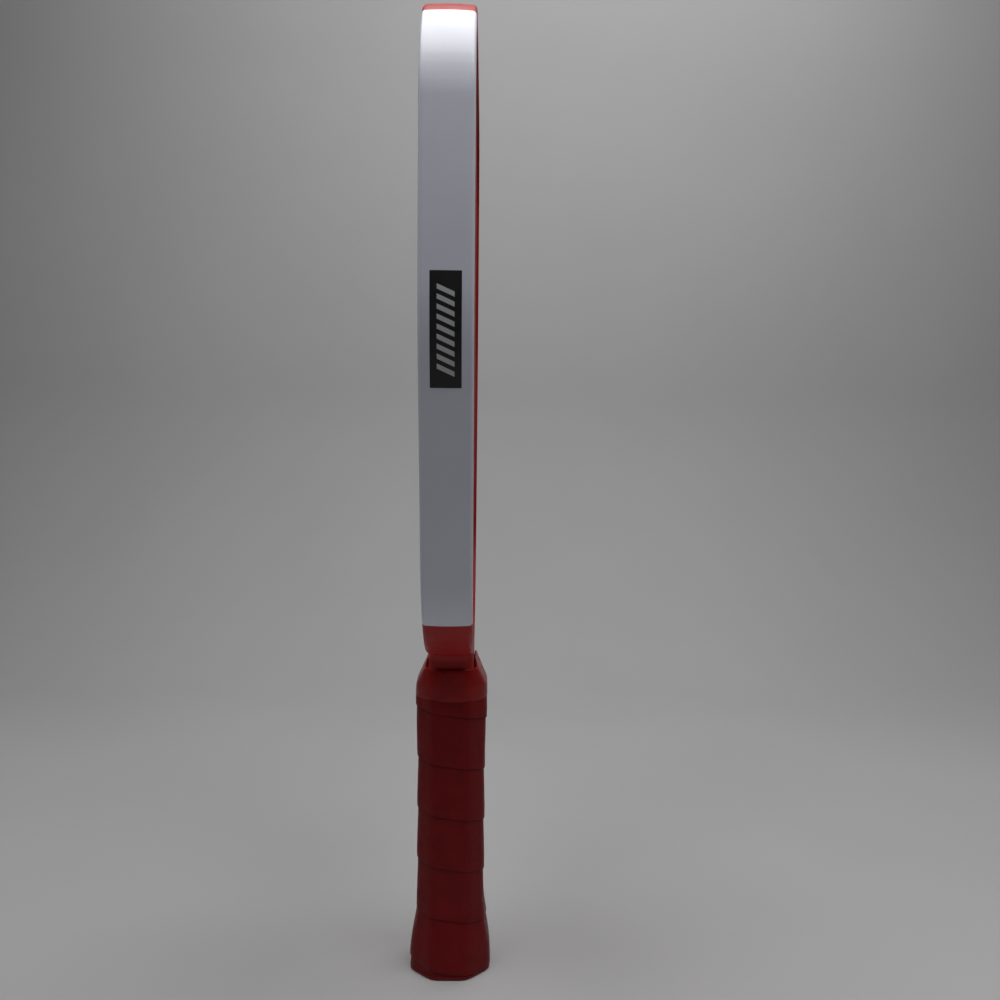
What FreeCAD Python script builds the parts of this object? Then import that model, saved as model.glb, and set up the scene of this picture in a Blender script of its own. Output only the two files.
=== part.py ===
"""Pickleball paddle: a honeycomb panel in a red channel frame with white side guards, on an octagonal grip.

Axes: X through the thickness, Y across the width, Z up from the butt to the top of the head.
The origin is the middle of the butt's base. Millimetres.
"""
import FreeCAD, Part
import math
import os
import Sketcher

doc = FreeCAD.newDocument("paddle")

# ---------------------------------------------------------------- sizes
# Driving sizes. Each one can be changed by itself.
SIZES = {
    # whole paddle and the outline of the head
    "overall_length": 406.4,
    "head_width": 204.6,
    "neck_width": 34.0,
    "shoulder_height": 147.5,
    "shoulder_radius": 5.0,
    "lower_corner_rise": 10.5,
    "side_bend_drop": 124.5,
    "side_bend_radius": 120.0,
    "upper_corner_drop": 6.0,
    # the rest of the outline as shares of the head's width
    "lower_corner_inset_share": 0.154,
    "lower_corner_radius_share": 0.2933,
    "upper_corner_radius_share": 0.2175,
    "crown_width_share": 0.2933,
    "crown_radius_share": 1.955,
    # panel layers
    "core_thickness": 16.0,
    "film_thickness": 0.15,
    "face_thickness": 0.5,
    "cell_size": 10.0,
    "cell_wall": 0.4,
    "core_rim": 0.8,
    "smallest_cell": 0.1,
    # red channel frame
    "frame_wall": 2.4,
    "frame_lip_width": 8.0,
    "frame_lip_thickness": 1.25,
    "frame_dome": 0.3,
    "frame_edge_radius": 1.6,
    # white side guards
    "guard_wall": 1.2,
    "guard_proud": 0.35,
    "guard_lip_width": 1.8,
    "guard_lip_thickness": 0.8,
    "guard_low_width": 132.0,
    "guard_low_height": 169.5,
    "guard_high_width": 140.0,
    "guard_high_drop": 34.0,
    # labels on the side guards
    "label_width": 11.2,
    "label_length": 40.0,
    "label_height": 280.0,
    "label_thickness": 0.15,
    # wrapped grip: butt, waist, top, and the tapered end under the collar
    "butt_thin": 36.4,
    "butt_wide": 39.4,
    "butt_cut": 10.4,
    "waist_thin": 30.4,
    "waist_wide": 34.0,
    "waist_cut": 7.4,
    "top_thin": 32.0,
    "top_beyond_neck": 0.8,
    "top_cut": 8.0,
    "end_thin": 27.6,
    "end_beyond_neck": 0.5,
    "end_cut": 6.5,
    "wrap_thickness": 1.8,
    "butt_height": 10.0,
    "flare_height": 28.0,
    "waist_height": 100.0,
    "top_height": 118.0,
    "wrap_end": 126.0,
    "pallet_end": 131.0,
    "frame_start": 133.0,
    # butt cap, its badge and the staples
    "cap_flange": 1.6,
    "cap_flange_radius": 0.8,
    "cap_floor": 6.0,
    "cap_wall": 1.2,
    "badge_radius": 10.9,
    "badge_thickness": 0.8,
    "badge_recess": 1.0,
    "badge_clearance": 0.1,
    "staple_crown": 10.0,
    "staple_wire": 0.8,
    "staple_clearance": 0.75,
    "staple_height": 8.0,
    "wrap_staple_leg": 3.2,
    # tongue inside the handle, finishing tape and collar
    "tongue_wall": 0.6,
    "tape_thickness": 0.3,
    "collar_skirt_height": 132.5,
    "collar_rim_height": 139.4,
    "collar_face_wall": 2.5,
    "collar_edge_wall": 1.1,
    "collar_rim_cut": 4.5,
    "collar_tab_height": 143.5,
    "collar_tab_width": 26.0,
    "collar_tab_thickness": 1.2,
    "collar_tab_radius": 3.0,
    "collar_gap": 0.3,
}

# Sizes that follow from the driving ones, as formulas in a sheet of their own.
FITS = {
    "no_distance": "=0",
    "lower_corner_inset": "=sizes.lower_corner_inset_share * sizes.head_width",
    "lower_corner_radius": "=sizes.lower_corner_radius_share * sizes.head_width",
    "upper_corner_radius": "=sizes.upper_corner_radius_share * sizes.head_width",
    "crown_width": "=sizes.crown_width_share * sizes.head_width",
    "crown_radius": "=sizes.crown_radius_share * sizes.head_width",
    "panel_thickness": "=sizes.core_thickness + 2 * (sizes.film_thickness + sizes.face_thickness)",
    "panel_half": "=panel_thickness / 2",
    "frame_half": "=panel_half + sizes.frame_lip_thickness",
    "guard_half": "=frame_half",
    "core_bottom": "=-sizes.core_thickness / 2",
    "film_front": "=sizes.core_thickness / 2",
    "film_back": "=-film_front - sizes.film_thickness",
    "face_front": "=film_front + sizes.film_thickness",
    "face_back": "=-face_front - sizes.face_thickness",
    "label_low": "=sizes.label_height - sizes.label_length / 2",
    "neck_slot_half": "=frame_half + sizes.collar_gap",
    "neck_half": "=sizes.neck_width / 2",
    "neck_slot_side": "=neck_half + sizes.collar_gap",
    "tab_half": "=sizes.collar_tab_width / 2",
    "badge_pocket_radius": "=sizes.badge_radius + sizes.badge_clearance",
    "badge_bottom": "=sizes.badge_recess - sizes.badge_thickness",
    "guard_pivot": "=sizes.overall_length - sizes.side_bend_drop",
    "guard_low_ray": "=2 * sizes.guard_low_height - guard_pivot",
    "guard_high_ray": "=2 * (sizes.overall_length - sizes.guard_high_drop) - guard_pivot",
    "tab_base": "=sizes.collar_rim_height - sizes.collar_tab_thickness",
}

# Each level of the handle in layers: outside of the wrap, handle core, and the core inside the butt cap.
# An octagon that shrinks by a distance loses 2 - sqrt(2) of it at each corner cut.
LAYERS = {
    "outer": "0",
    "core": "sizes.wrap_thickness",
    "seat": "sizes.wrap_thickness + sizes.cap_wall",
    "tape": "sizes.wrap_thickness - sizes.tape_thickness",
}
# The top of the handle is a little wider than the neck that stands in it.
HALF_WIDTHS = {
    "butt": "sizes.butt_wide / 2",
    "waist": "sizes.waist_wide / 2",
    "top": "neck_half + sizes.top_beyond_neck",
    "end": "neck_half + sizes.end_beyond_neck",
}
for level, half_width in HALF_WIDTHS.items():
    for layer, inset in LAYERS.items():
        FITS[f"{level}_{layer}_thin"] = f"=sizes.{level}_thin / 2 - ({inset})"
        FITS[f"{level}_{layer}_wide"] = f"={half_width} - ({inset})"
        FITS[f"{level}_{layer}_cut"] = f"=sizes.{level}_cut - (2 - sqrt(2)) * ({inset})"
# The legs of the butt cap's staples stop short of the panel's faces.
FITS["cap_staple_leg"] = "=butt_core_thin - panel_half - sizes.staple_clearance"
FITS["rim_outer_thin"] = "=neck_slot_half + sizes.collar_face_wall"
FITS["rim_outer_wide"] = "=neck_slot_side + sizes.collar_edge_wall"
FITS["rim_outer_cut"] = "=sizes.collar_rim_cut"
# The tongue is as wide as the corner cuts of the octagon inside the butt cap allow.
FITS["seat_flat"] = "=waist_seat_thin - waist_seat_cut"
FITS["tongue_half"] = "=waist_seat_wide - max(0; panel_half - seat_flat) - sizes.tongue_wall"


def fill_sheet(name, cells):
    """Make a sheet with one row for each size: its name beside its value, which has the name as its alias."""
    sheet = doc.addObject("Spreadsheet::Sheet", name)
    for row, (alias, content) in enumerate(cells.items(), start=1):
        sheet.set(f"A{row}", alias)
        sheet.set(f"B{row}", str(content))
        sheet.setAlias(f"B{row}", alias)
    doc.recompute()
    return sheet


sizes = fill_sheet("sizes", SIZES)
fits = fill_sheet("fits", FITS)


def cell(name):
    """Return a size as a number, from whichever sheet holds it."""
    sheet = sizes if name in SIZES else fits
    return float(sheet.get(name))


def link(name):
    """Return the expression that names a size's cell."""
    return f"sizes.{name}" if name in SIZES else f"fits.{name}"


# ---------------------------------------------------------------- outline of the head
def left_of(direction):
    """Return a direction turned a quarter turn to the left, in the YZ plane."""
    return FreeCAD.Vector(0, -direction.z, direction.y)


def outline_corners(inset=0.0):
    """Return the right half of the outline, from the neck up to the crown, as (corner, radius) pairs.

    The corners are those of a straight-sided outline whose corners are then rounded. An inset moves
    every side inwards, which makes the outward corners tighter and the hollow shoulder corner rounder.
    """
    top = cell("overall_length")
    half = cell("head_width") / 2
    neck = cell("neck_width") / 2
    shoulder = cell("shoulder_height")
    corners = [
        (neck, cell("frame_start"), 0),
        (neck, shoulder, cell("shoulder_radius")),
        (half - cell("lower_corner_inset"), shoulder + cell("lower_corner_rise"), cell("lower_corner_radius")),
        (half, top - cell("side_bend_drop"), cell("side_bend_radius")),
        (half, top - cell("upper_corner_drop"), cell("upper_corner_radius")),
        (cell("crown_width") / 2, top, cell("crown_radius")),
        (0, top, 0),
    ]
    points = [FreeCAD.Vector(0, y, z) for y, z, radius in corners]
    radii = [radius for y, z, radius in corners]
    sides = [(after - before).normalize() for before, after in zip(points, points[1:])]
    moved = []
    for number, (point, radius) in enumerate(zip(points, radii)):
        before = sides[max(number - 1, 0)]
        after = sides[min(number, len(sides) - 1)]
        inward = left_of(before) + left_of(after)
        shift = inward * (inset / (1 + before.dot(after)))
        turns_left = before.cross(after).x > 0
        moved.append((point + shift, radius - inset if turns_left else radius + inset))
    return moved


def both_halves(corners):
    """Return a half outline from the neck to the crown, followed by its mirror image back to the neck."""
    mirrored = [(FreeCAD.Vector(0, -point.y, point.z), radius) for point, radius in reversed(corners[:-1])]
    return corners[:-1] + mirrored


def round_corners(corners, closed):
    """Return line segments and tangent arcs along the corners, each rounded to its radius."""
    count = len(corners)
    joins = []
    for number, (point, radius) in enumerate(corners):
        at_end = not closed and number in (0, count - 1)
        if at_end or radius <= 0:
            joins.append((point, point, None))
            continue
        before = (point - corners[number - 1][0]).normalize()
        after = (corners[(number + 1) % count][0] - point).normalize()
        turn = before.getAngle(after)
        setback = radius * math.tan(turn / 2)
        start = point - before * setback
        end = point + after * setback
        towards_centre = (after - before).normalize()
        middle = point + towards_centre * (radius / math.cos(turn / 2) - radius)
        joins.append((start, end, Part.Arc(start, middle, end)))
    pieces = []
    last = count if closed else count - 1
    for number in range(count):
        start, end, arc = joins[number]
        if arc:
            pieces.append(arc)
        if number < last:
            pieces.append(Part.LineSegment(end, joins[(number + 1) % count][0]))
    return pieces


def panel_outline(inset):
    """Return the closed outline of the panel: the head inset from the frame's outside, and the tongue.

    The ledge between the tongue and the neck moves up or down with the inset, like every other side.
    """
    head = outline_corners(inset)
    margin = inset - cell("frame_wall")
    tongue = cell("tongue_half") - margin
    neck = head[0][0]
    ledge = neck.z + math.copysign(margin, neck.y - tongue)
    half = [
        (FreeCAD.Vector(0, tongue, cell("cap_floor") + margin), 0),
        (FreeCAD.Vector(0, tongue, ledge), 0),
        (FreeCAD.Vector(0, neck.y, ledge), 0),
        *head[1:],
    ]
    return round_corners(both_halves(half), closed=True)


# ---------------------------------------------------------------- sketch and body helpers
def new_body(name):
    """Return an empty body whose name is its node's name."""
    body = doc.addObject("PartDesign::Body", name)
    body.Label = name
    return body


def new_sketch(body, plane, height=None):
    """Attach a sketch to one of the body's own origin planes, raised to a height cell if one is named."""
    sketch = body.newObject("Sketcher::SketchObject", f"{body.Name}_sketch")
    support = next(item for item in body.Origin.OriginFeatures if item.Role == plane)
    sketch.AttachmentSupport = (support, "")
    sketch.MapMode = "FlatFace"
    if height:
        sketch.setExpression("AttachmentOffset.Base.z", link(height))
    return sketch


def draw_outline(sketch, pieces):
    """Draw curves of the YZ plane in a sketch on that plane, whose own axes are Y and Z."""
    turn = FreeCAD.Matrix(0, 1, 0, 0, 0, 0, 1, 0, 1, 0, 0, 0)
    for piece in pieces:
        curve = piece.copy()
        curve.transform(turn)
        sketch.addGeometry(curve, False)


def draw_polygon(sketch, corners):
    """Draw a closed polygon whose corners are bound to cells.

    A corner is a pair of coordinates, and a coordinate is a sign, a cell and a cell to take off it.
    """
    def number(sign, name, less):
        return sign * (cell(name) - (cell(less) if less else 0))

    def text(sign, name, less):
        amount = f"{link(name)} - {link(less)}" if less else link(name)
        return f"{sign} * ({amount})"

    places = [FreeCAD.Vector(number(*across), number(*up), 0) for across, up in corners]
    count = len(corners)
    for index in range(count):
        sketch.addGeometry(Part.LineSegment(places[index], places[(index + 1) % count]), False)
    for index in range(count):
        sketch.addConstraint(Sketcher.Constraint("Coincident", index, 2, (index + 1) % count, 1))
    for index, (across, up) in enumerate(corners):
        for kind, coordinate in (("DistanceX", across), ("DistanceY", up)):
            amount = number(*coordinate)
            added = sketch.addConstraint(Sketcher.Constraint(kind, -1, 1, index, 1, amount))
            sketch.setExpression(f"Constraints[{added}]", text(*coordinate))


def octagon(body, level, height):
    """Sketch the handle's octagon for a level and layer, at a height."""
    sketch = new_sketch(body, "XY_Plane", height)
    thin, wide, cut = f"{level}_thin", f"{level}_wide", f"{level}_cut"
    corners = []
    for side_x, side_y in ((1, 1), (-1, 1), (-1, -1), (1, -1)):
        on_wide_side = ((side_x, thin, cut), (side_y, wide, None))
        on_thin_side = ((side_x, thin, None), (side_y, wide, cut))
        ordered = (on_thin_side, on_wide_side) if side_x == side_y else (on_wide_side, on_thin_side)
        corners.extend(ordered)
    draw_polygon(sketch, corners)
    return sketch


def rectangle(body, plane, width, length, height=None):
    """Sketch a rectangle centred on the plane's middle, from two cells that hold its half sizes."""
    sketch = new_sketch(body, plane, height)
    signs = ((1, 1), (-1, 1), (-1, -1), (1, -1))
    draw_polygon(sketch, [((across, width, None), (up, length, None)) for across, up in signs])
    return sketch


def pad(body, sketch, length, symmetric=False):
    """Pad a sketch by a length given as an expression."""
    feature = body.newObject("PartDesign::Pad", f"{body.Name}_pad")
    feature.Profile = sketch
    feature.setExpression("Length", length)
    if symmetric:
        feature.Midplane = True
    return feature


def pocket(body, sketch, length, upwards=True):
    """Cut a sketch into the body by a length given as an expression, along or against its normal."""
    feature = body.newObject("PartDesign::Pocket", f"{body.Name}_pocket")
    feature.Profile = sketch
    feature.setExpression("Length", length)
    feature.Reversed = upwards
    return feature


def loft(body, sections, kind="PartDesign::AdditiveLoft"):
    """Join octagons at rising heights with flat facets, or cut that shape away."""
    feature = body.newObject(kind, f"{body.Name}_loft")
    feature.Profile = sections[0]
    feature.Sections = sections[1:]
    feature.Ruled = True
    return feature


def octagons(body, stations):
    """Sketch an octagon at each station, a station being a level with its layer and a height cell."""
    return [octagon(body, level, height) for level, height in stations]


def circle(body, radius, height=None):
    """Sketch a circle about the vertical axis, its radius bound to a cell."""
    sketch = new_sketch(body, "XY_Plane", height)
    sketch.addGeometry(Part.Circle(FreeCAD.Vector(0, 0, 0), FreeCAD.Vector(0, 0, 1), cell(radius)), False)
    sketch.addConstraint(Sketcher.Constraint("Coincident", 0, 3, -1, 1))
    added = sketch.addConstraint(Sketcher.Constraint("Radius", 0, cell(radius)))
    sketch.setExpression(f"Constraints[{added}]", link(radius))
    return sketch


def fillet(body, edges, radius):
    """Round the named edges of a body's latest feature to a radius cell."""
    last = body.Tip
    feature = body.newObject("PartDesign::Fillet", f"{body.Name}_fillet")
    feature.Base = (last, edges)
    feature.setExpression("Radius", link(radius))
    return feature


def mirror_copy(source, name, normal):
    """Return the mirror image of a piece across a plane through the origin."""
    copy = doc.addObject("Part::Mirroring", name)
    copy.Source = source
    copy.Normal = normal
    copy.Label = name
    return copy


def boolean(kind, name, base, tool):
    """Return a Part boolean of two objects: Cut or Common."""
    result = doc.addObject(f"Part::{kind}", name)
    result.Base = base
    result.Tool = tool
    result.Label = name
    return result


# ---------------------------------------------------------------- panel
def panel_sheet(name, thickness, place):
    """Make one flat layer of the panel, its lower X face at the place given."""
    body = new_body(name)
    sketch = new_sketch(body, "YZ_Plane")
    draw_outline(sketch, panel_outline(cell("frame_wall")))
    pad(body, sketch, link(thickness))
    body.setExpression(".Placement.Base.x", link(place))
    return body


def honeycomb_core():
    """Make the core: a slab with open six-sided cells right through it, cut short by a thin rim."""
    pitch = cell("cell_size")
    opening = (pitch - cell("cell_wall")) / math.sqrt(3)
    edge = Part.Wire([piece.toShape() for piece in panel_outline(cell("frame_wall"))])
    rim = cell("frame_wall") + cell("core_rim")
    room = Part.Face(Part.Wire([piece.toShape() for piece in panel_outline(rim)]))
    whole_cell_room = Part.Face(Part.Wire([piece.toShape() for piece in panel_outline(rim + opening)]))
    box = room.BoundBox
    row_step = pitch * math.sqrt(3) / 2
    rows = int(box.ZLength / row_step) + 2
    columns = int(box.YLength / 2 / pitch) + 1
    cells = []
    for row in range(rows):
        height = box.ZMin + row * row_step
        for column in range(-columns, columns + 1):
            across = (column + 0.5 * (row % 2)) * pitch
            centre = FreeCAD.Vector(0, across, height)
            outline = hexagon(centre, opening)
            if whole_cell_room.isInside(centre, 0.001, True):
                cells.append(outline)
            else:
                cells.extend(cut_cells(outline, room))
    face = Part.Face([edge, *cells])
    core = doc.addObject("Part::Feature", "core_honeycomb")
    core.Shape = face.extrude(FreeCAD.Vector(cell("core_thickness"), 0, 0))
    core.Label = "core_honeycomb"
    core.Placement = FreeCAD.Placement(FreeCAD.Vector(cell("core_bottom"), 0, 0), FreeCAD.Rotation())
    print("core cells:", len(cells))
    return core


def cut_cells(outline, room):
    """Return what a cell at the rim keeps inside the rim, as wires, without the smallest scraps."""
    smallest = Part.Face(outline).Area * cell("smallest_cell")
    kept = Part.Face(outline).common(room)
    return [face.OuterWire for face in kept.Faces if face.Area > smallest]


def hexagon(centre, radius):
    """Return a six-sided wire in the YZ plane with a corner straight up."""
    turns = [math.radians(60 * number) for number in range(7)]
    corners = [centre + FreeCAD.Vector(0, radius * math.sin(a), radius * math.cos(a)) for a in turns]
    return Part.makePolygon(corners)


# ---------------------------------------------------------------- frame, side guards and labels
def crowned_top(half, outside):
    """Return the crowned outer side of a strip's section with its two rounded long edges."""
    radius = cell("frame_edge_radius")
    dome = cell("frame_dome")
    flat_half = half - radius
    shoulder = outside - dome
    knee = radius * (1 - math.sqrt(0.5))
    crown = Part.Arc(
        FreeCAD.Vector(-flat_half, shoulder, 0),
        FreeCAD.Vector(0, outside, 0),
        FreeCAD.Vector(flat_half, shoulder, 0),
    )
    edges = [
        Part.Arc(
            FreeCAD.Vector(side * flat_half, shoulder, 0),
            FreeCAD.Vector(side * (half - knee), shoulder - knee, 0),
            FreeCAD.Vector(side * half, shoulder - radius, 0),
        )
        for side in (-1, 1)
    ]
    return [crown, *edges]


def channel_section(half, outside, wall, lip_end, lip_thickness):
    """Return the section of a channel that opens inwards: a crowned web with a lip on each face."""
    web = outside - wall
    inner = half - lip_thickness
    start = outside - cell("frame_dome") - cell("frame_edge_radius")
    across = [(half, start), (half, lip_end), (inner, lip_end), (inner, web)]
    path = across + [(-x, y) for x, y in reversed(across)]
    points = [FreeCAD.Vector(x, y, 0) for x, y in path]
    sides = [Part.LineSegment(first, second) for first, second in zip(points, points[1:])]
    return crowned_top(half, outside) + sides


def swept_strip(name, section):
    """Sweep a section all the way round the head, from one side of the neck to the other."""
    body = new_body(name)
    path = new_sketch(body, "YZ_Plane")
    draw_outline(path, round_corners(both_halves(outline_corners()), closed=False))
    profile = new_sketch(body, "XY_Plane", "frame_start")
    for curve in section:
        profile.addGeometry(curve, False)
    pipe = body.newObject("PartDesign::AdditivePipe", f"{name}_pipe")
    pipe.Profile = profile
    pipe.Spine = (path, [f"Edge{number + 1}" for number in range(path.GeometryCount)])
    return body


def right_guard():
    """Make the right side guard: a thin white channel cut off square near the neck and near the crown."""
    outside = cell("neck_half") + cell("guard_proud")
    section = channel_section(
        cell("guard_half"),
        outside,
        cell("guard_wall"),
        cell("neck_half") - cell("guard_lip_width"),
        cell("guard_lip_thickness"),
    )
    strip = swept_strip("guard_strip", section)
    wedge = new_body("guard_wedge")
    sketch = new_sketch(wedge, "YZ_Plane")
    origin = (1, "no_distance", None)
    draw_polygon(sketch, [
        (origin, (1, "guard_pivot", None)),
        ((1, "guard_low_width", None), (1, "guard_low_ray", None)),
        ((1, "guard_high_width", None), (1, "guard_high_ray", None)),
    ])
    pad(wedge, sketch, "4 * fits.guard_half", symmetric=True)
    return boolean("Common", "side_guard_right", strip, wedge)


def right_label():
    """Make the right label: a thin strip that lies on the crowned side guard."""
    half = cell("label_width") / 2
    outside = cell("neck_half") + cell("guard_proud")
    crown_half = cell("guard_half") - cell("frame_edge_radius")
    dome = cell("frame_dome")
    crown_radius = (crown_half ** 2 + dome ** 2) / (2 * dome)
    drop = crown_radius - math.sqrt(crown_radius ** 2 - half ** 2)
    section = []
    for lift in (0, cell("label_thickness")):
        section.append(Part.Arc(
            FreeCAD.Vector(-half, outside + lift - drop, 0),
            FreeCAD.Vector(0, outside + lift, 0),
            FreeCAD.Vector(half, outside + lift - drop, 0),
        ))
    for side in (-half, half):
        foot = FreeCAD.Vector(side, outside - drop, 0)
        section.append(Part.LineSegment(foot, foot + FreeCAD.Vector(0, cell("label_thickness"), 0)))
    strip = swept_strip("label_strip", section)
    span = doc.addObject("Part::Box", "label_span")
    span.setExpression("Length", "2 * sizes.label_width")
    span.setExpression("Width", "sizes.head_width")
    span.setExpression("Height", link("label_length"))
    span.setExpression(".Placement.Base.x", "-sizes.label_width")
    span.setExpression(".Placement.Base.z", link("label_low"))
    return boolean("Common", "side_label_right", strip, span)


def channel_frame(guards):
    """Make the red frame: a channel round the head, with a rebate where each side guard sits."""
    section = channel_section(
        cell("frame_half"),
        cell("neck_half"),
        cell("frame_wall"),
        cell("neck_half") - cell("frame_lip_width"),
        cell("frame_lip_thickness"),
    )
    strip = swept_strip("frame_strip", section)
    both = doc.addObject("Part::Compound", "both_guards")
    both.Links = guards
    return boolean("Cut", "edge_frame", strip, both)


# ---------------------------------------------------------------- handle
def staple(name, leg, surface, turn):
    """Make a staple whose crown lies flush in a surface that faces along X, then turn it about Z."""
    crown = doc.addObject("Part::Box", f"{name}_crown")
    crown.setExpression("Length", link("staple_wire"))
    crown.setExpression("Width", link("staple_crown"))
    crown.setExpression("Height", link("staple_wire"))
    crown.setExpression(".Placement.Base.x", f"{link(surface)} - {link('staple_wire')}")
    crown.setExpression(".Placement.Base.y", f"-{link('staple_crown')} / 2")
    crown.setExpression(".Placement.Base.z", link("staple_height"))
    pieces = [crown]
    for side in (-1, 1):
        pin = doc.addObject("Part::Box", f"{name}_leg")
        pin.setExpression("Length", link(leg))
        pin.setExpression("Width", link("staple_wire"))
        pin.setExpression("Height", link("staple_wire"))
        pin.setExpression(".Placement.Base.x", f"{link(surface)} - {link(leg)}")
        middle = f"{side} * ({link('staple_crown')} - {link('staple_wire')}) / 2"
        pin.setExpression(".Placement.Base.y", f"{middle} - {link('staple_wire')} / 2")
        pin.setExpression(".Placement.Base.z", link("staple_height"))
        pieces.append(pin)
    whole = doc.addObject("Part::MultiFuse", name)
    whole.Shapes = pieces
    whole.Label = name
    whole.Placement = FreeCAD.Placement(FreeCAD.Vector(), FreeCAD.Rotation(FreeCAD.Vector(0, 0, 1), turn))
    return whole


def front_pallet(staples):
    """Make the front half of the handle's foam core, with its half of the pocket for the tongue."""
    body = new_body("pallet_body")
    pad(body, octagon(body, "waist_seat", "cap_floor"), "sizes.flare_height - sizes.cap_floor")
    loft(body, octagons(body, [
        ("waist_core", "flare_height"),
        ("waist_core", "waist_height"),
        ("top_core", "top_height"),
        ("top_core", "wrap_end"),
        ("end_core", "pallet_end"),
    ]))
    length = "sizes.pallet_end - sizes.cap_floor"
    pocket(body, rectangle(body, "XY_Plane", "panel_half", "tongue_half", "cap_floor"), length)
    back_half = new_sketch(body, "XY_Plane", "cap_floor")
    draw_polygon(back_half, [
        ((1, "no_distance", None), (-1, "butt_wide", None)),
        ((1, "no_distance", None), (1, "butt_wide", None)),
        ((-1, "butt_thin", None), (1, "butt_wide", None)),
        ((-1, "butt_thin", None), (-1, "butt_wide", None)),
    ])
    pocket(body, back_half, length)
    return boolean("Cut", "handle_pallet_front", body, staples)


def flared_butt_cap(staples):
    """Make the moulded butt cap: a base flange, a flared skirt, the seat of the handle and a badge recess."""
    body = new_body("cap_body")
    pad(body, octagon(body, "butt_outer", None), link("cap_flange"))
    loft(body, octagons(body, [
        ("butt_core", "cap_flange"),
        ("butt_core", "butt_height"),
        ("waist_core", "flare_height"),
    ]))
    pocket(body, octagon(body, "waist_seat", "cap_floor"), "sizes.flare_height - sizes.cap_floor")
    pocket(body, circle(body, "badge_pocket_radius"), link("badge_recess"))
    doc.recompute()
    fillet(body, base_edges(body.Shape, cell("badge_pocket_radius")), "cap_flange_radius")
    return boolean("Cut", "butt_cap", body, staples)


def base_edges(shape, inner):
    """Name the straight edges of the base, which lie further out than the badge recess."""
    names = []
    for number, edge in enumerate(shape.Edges, start=1):
        box = edge.BoundBox
        middle = edge.CenterOfMass
        if box.ZMax < 0.001 and math.hypot(middle.x, middle.y) > inner:
            names.append(f"Edge{number}")
    return names


def blank_badge():
    """Make the plain round badge that sits in the butt cap's recess."""
    badge = doc.addObject("Part::Cylinder", "butt_badge")
    badge.Label = "butt_badge"
    badge.setExpression("Radius", link("badge_radius"))
    badge.setExpression("Height", link("badge_thickness"))
    badge.setExpression(".Placement.Base.z", link("badge_bottom"))
    return badge


def wrap_sleeve():
    """Make the grip wrap as one closed sleeve, from the butt flange to the collar."""
    body = new_body("grip_wrap")
    stations = [
        ("butt", "cap_flange"),
        ("butt", "butt_height"),
        ("waist", "flare_height"),
        ("waist", "waist_height"),
        ("top", "top_height"),
        ("top", "wrap_end"),
    ]
    loft(body, octagons(body, [(f"{level}_outer", height) for level, height in stations]))
    inside = octagons(body, [(f"{level}_core", height) for level, height in stations])
    loft(body, inside, "PartDesign::SubtractiveLoft")
    return body


def tape_band():
    """Make the finishing tape: a thin band on the tapered top of the handle, under the collar."""
    body = new_body("finishing_tape")
    stations = [("top", "wrap_end"), ("end", "pallet_end")]
    loft(body, octagons(body, [(f"{level}_tape", height) for level, height in stations]))
    inside = octagons(body, [(f"{level}_core", height) for level, height in stations])
    loft(body, inside, "PartDesign::SubtractiveLoft")
    return body


def rubber_collar():
    """Make the collar: a flared octagon with a raised tab on each face, round the neck and the tape."""
    body = new_body("grip_collar")
    loft(body, octagons(body, [
        ("top_outer", "wrap_end"),
        ("top_outer", "collar_skirt_height"),
        ("rim_outer", "collar_rim_height"),
    ]))
    tabs = new_sketch(body, "YZ_Plane")
    draw_polygon(tabs, [
        ((1, "tab_half", None), (1, "tab_base", None)),
        ((1, "tab_half", None), (1, "collar_tab_height", None)),
        ((-1, "tab_half", None), (1, "collar_tab_height", None)),
        ((-1, "tab_half", None), (1, "tab_base", None)),
    ])
    pad(body, tabs, "2 * (fits.neck_slot_half + sizes.collar_tab_thickness)", symmetric=True)
    slot = rectangle(body, "XY_Plane", "neck_slot_half", "neck_slot_side", "pallet_end")
    pocket(body, slot, "sizes.collar_tab_height - sizes.pallet_end")
    inside = octagons(body, [("top_tape", "wrap_end"), ("end_tape", "pallet_end")])
    loft(body, inside, "PartDesign::SubtractiveLoft")
    doc.recompute()
    fillet(body, tab_corners(body.Shape, cell("collar_tab_height"), cell("tab_half")), "collar_tab_radius")
    return body


def tab_corners(shape, top, half):
    """Name the short edges along X at the upper corners of the tabs."""
    names = []
    for number, edge in enumerate(shape.Edges, start=1):
        middle = edge.CenterOfMass
        at_corner = abs(middle.z - top) < 0.001 and abs(abs(middle.y) - half) < 0.001
        if at_corner and edge.BoundBox.XLength > 0.001:
            names.append(f"Edge{number}")
    return names


# ---------------------------------------------------------------- assembly
along_x = FreeCAD.Vector(1, 0, 0)
along_y = FreeCAD.Vector(0, 1, 0)

guard_right = right_guard()
guard_left = mirror_copy(guard_right, "side_guard_left", along_y)
label_right = right_label()
label_left = mirror_copy(label_right, "side_label_left", along_y)

cap_staple_front = staple("cap_staple_front", "cap_staple_leg", "butt_core_thin", 0)
cap_staple_back = mirror_copy(cap_staple_front, "cap_staple_back", along_x)
cap_staples = doc.addObject("Part::Compound", "butt_cap_staples")
cap_staples.Links = [cap_staple_front, cap_staple_back]
wrap_staple = staple("wrap_staple", "wrap_staple_leg", "butt_core_wide", -90)
all_staples = doc.addObject("Part::Compound", "all_staples")
all_staples.Links = [cap_staple_front, cap_staple_back, wrap_staple]

pallet_front = front_pallet(cap_staple_front)

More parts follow.
